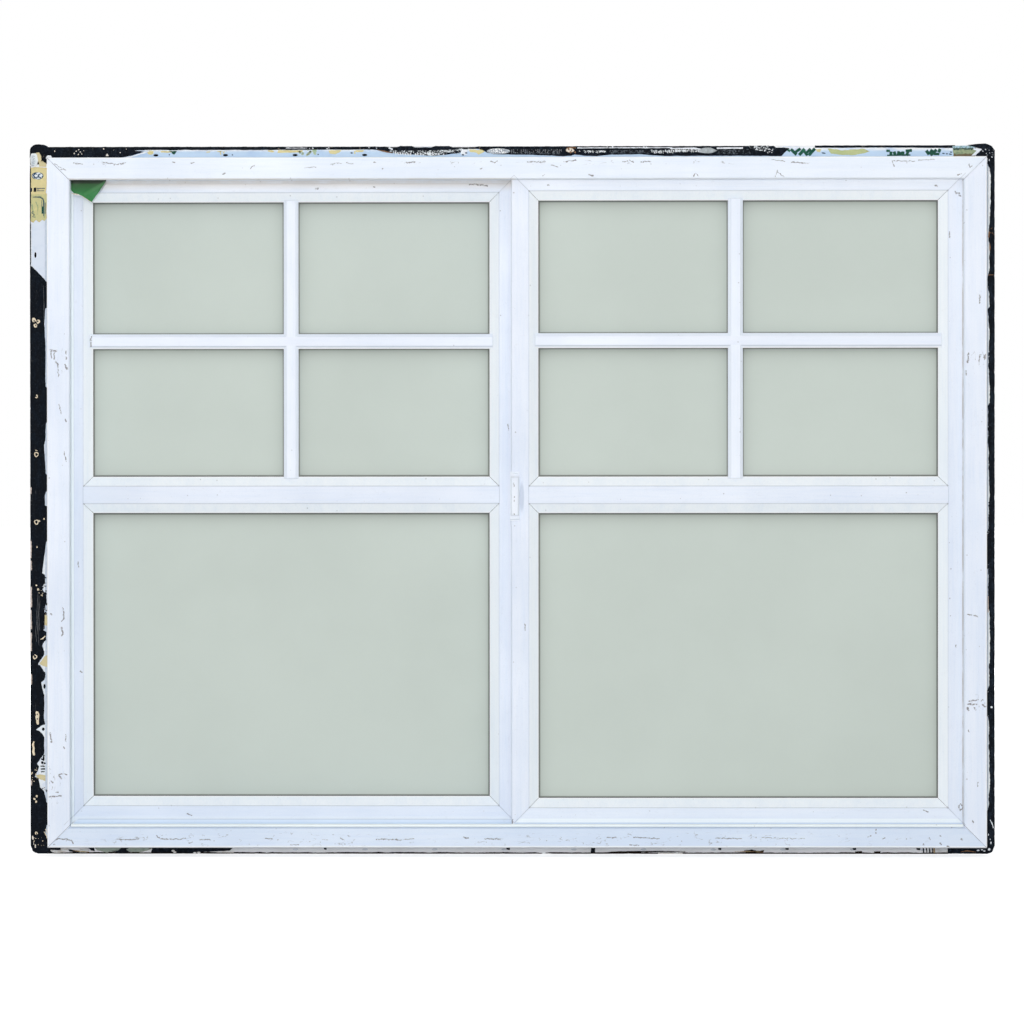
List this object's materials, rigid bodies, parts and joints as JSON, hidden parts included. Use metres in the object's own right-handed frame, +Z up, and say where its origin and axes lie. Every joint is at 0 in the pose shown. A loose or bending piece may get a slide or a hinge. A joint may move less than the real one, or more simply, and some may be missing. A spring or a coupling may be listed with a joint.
{
  "type": "vinyl sliding window",
  "caption": "White vinyl sliding window with two obscure-glass sashes, applied bars in the upper panes, a centre latch and a nail fin that still carries torn membrane.",
  "frame": {"origin": "on the wall-side face of the sill fin, at the middle of the frame's width and halfway across the fin strip", "axes": "+X to the right as seen from the room, +Y out through the wall to the street, +Z up"},
  "size_m": [1.4065, 0.083, 1.0361],
  "materials": {
    "frame_vinyl": "satin white vinyl, scuffed and weathered",
    "sash_vinyl": "satin white vinyl",
    "trim_vinyl": "satin white vinyl beads and bars",
    "fin_vinyl": "thin vinyl fin with house wrap, tape and dirt left on it",
    "latch_plastic": "moulded white plastic",
    "obscure_glass": "satin grey-green obscure glass",
    "spacer": "dull mill finish",
    "gasket": "matt black rubber",
    "pile": "grey woven pile",
    "membrane": "torn black roofing membrane"
  },
  "bodies": {
    "root": {"left_jamb": "frame_vinyl", "right_jamb": "frame_vinyl", "head": "frame_vinyl", "sill": "frame_vinyl", "left_fin": "fin_vinyl", "right_fin": "fin_vinyl", "top_fin": "fin_vinyl", "bottom_fin": "fin_vinyl", "left_sash_left_stile": "sash_vinyl", "left_sash_right_stile": "sash_vinyl", "left_sash_top_rail": "sash_vinyl", "left_sash_bottom_rail": "sash_vinyl", "left_sash_mid_rail": "sash_vinyl", "left_sash_upper_beads": "trim_vinyl", "left_sash_lower_beads": "trim_vinyl", "left_sash_gaskets": "gasket", "left_sash_room_glass": "obscure_glass", "left_sash_street_glass": "obscure_glass", "left_sash_spacers": "spacer", "left_sash_room_cross_bar": "trim_vinyl", "left_sash_room_upright_bars": "trim_vinyl", "left_sash_street_cross_bar": "trim_vinyl", "left_sash_street_upright_bars": "trim_vinyl", "right_sash_left_stile": "sash_vinyl", "right_sash_right_stile": "sash_vinyl", "right_sash_top_rail": "sash_vinyl", "right_sash_bottom_rail": "sash_vinyl", "right_sash_mid_rail": "sash_vinyl", "right_sash_upper_beads": "trim_vinyl", "right_sash_lower_beads": "trim_vinyl", "right_sash_gaskets": "gasket", "right_sash_room_glass": "obscure_glass", "right_sash_street_glass": "obscure_glass", "right_sash_spacers": "spacer", "right_sash_room_cross_bar": "trim_vinyl", "right_sash_room_upright_bars": "trim_vinyl", "right_sash_street_cross_bar": "trim_vinyl", "right_sash_street_upright_bars": "trim_vinyl", "latch_base": "latch_plastic", "latch_lever": "latch_plastic", "meeting_seal": "pile", "left_membrane": "membrane", "top_membrane": "membrane", "right_membrane": "membrane"}
  },
  "joints": []
}
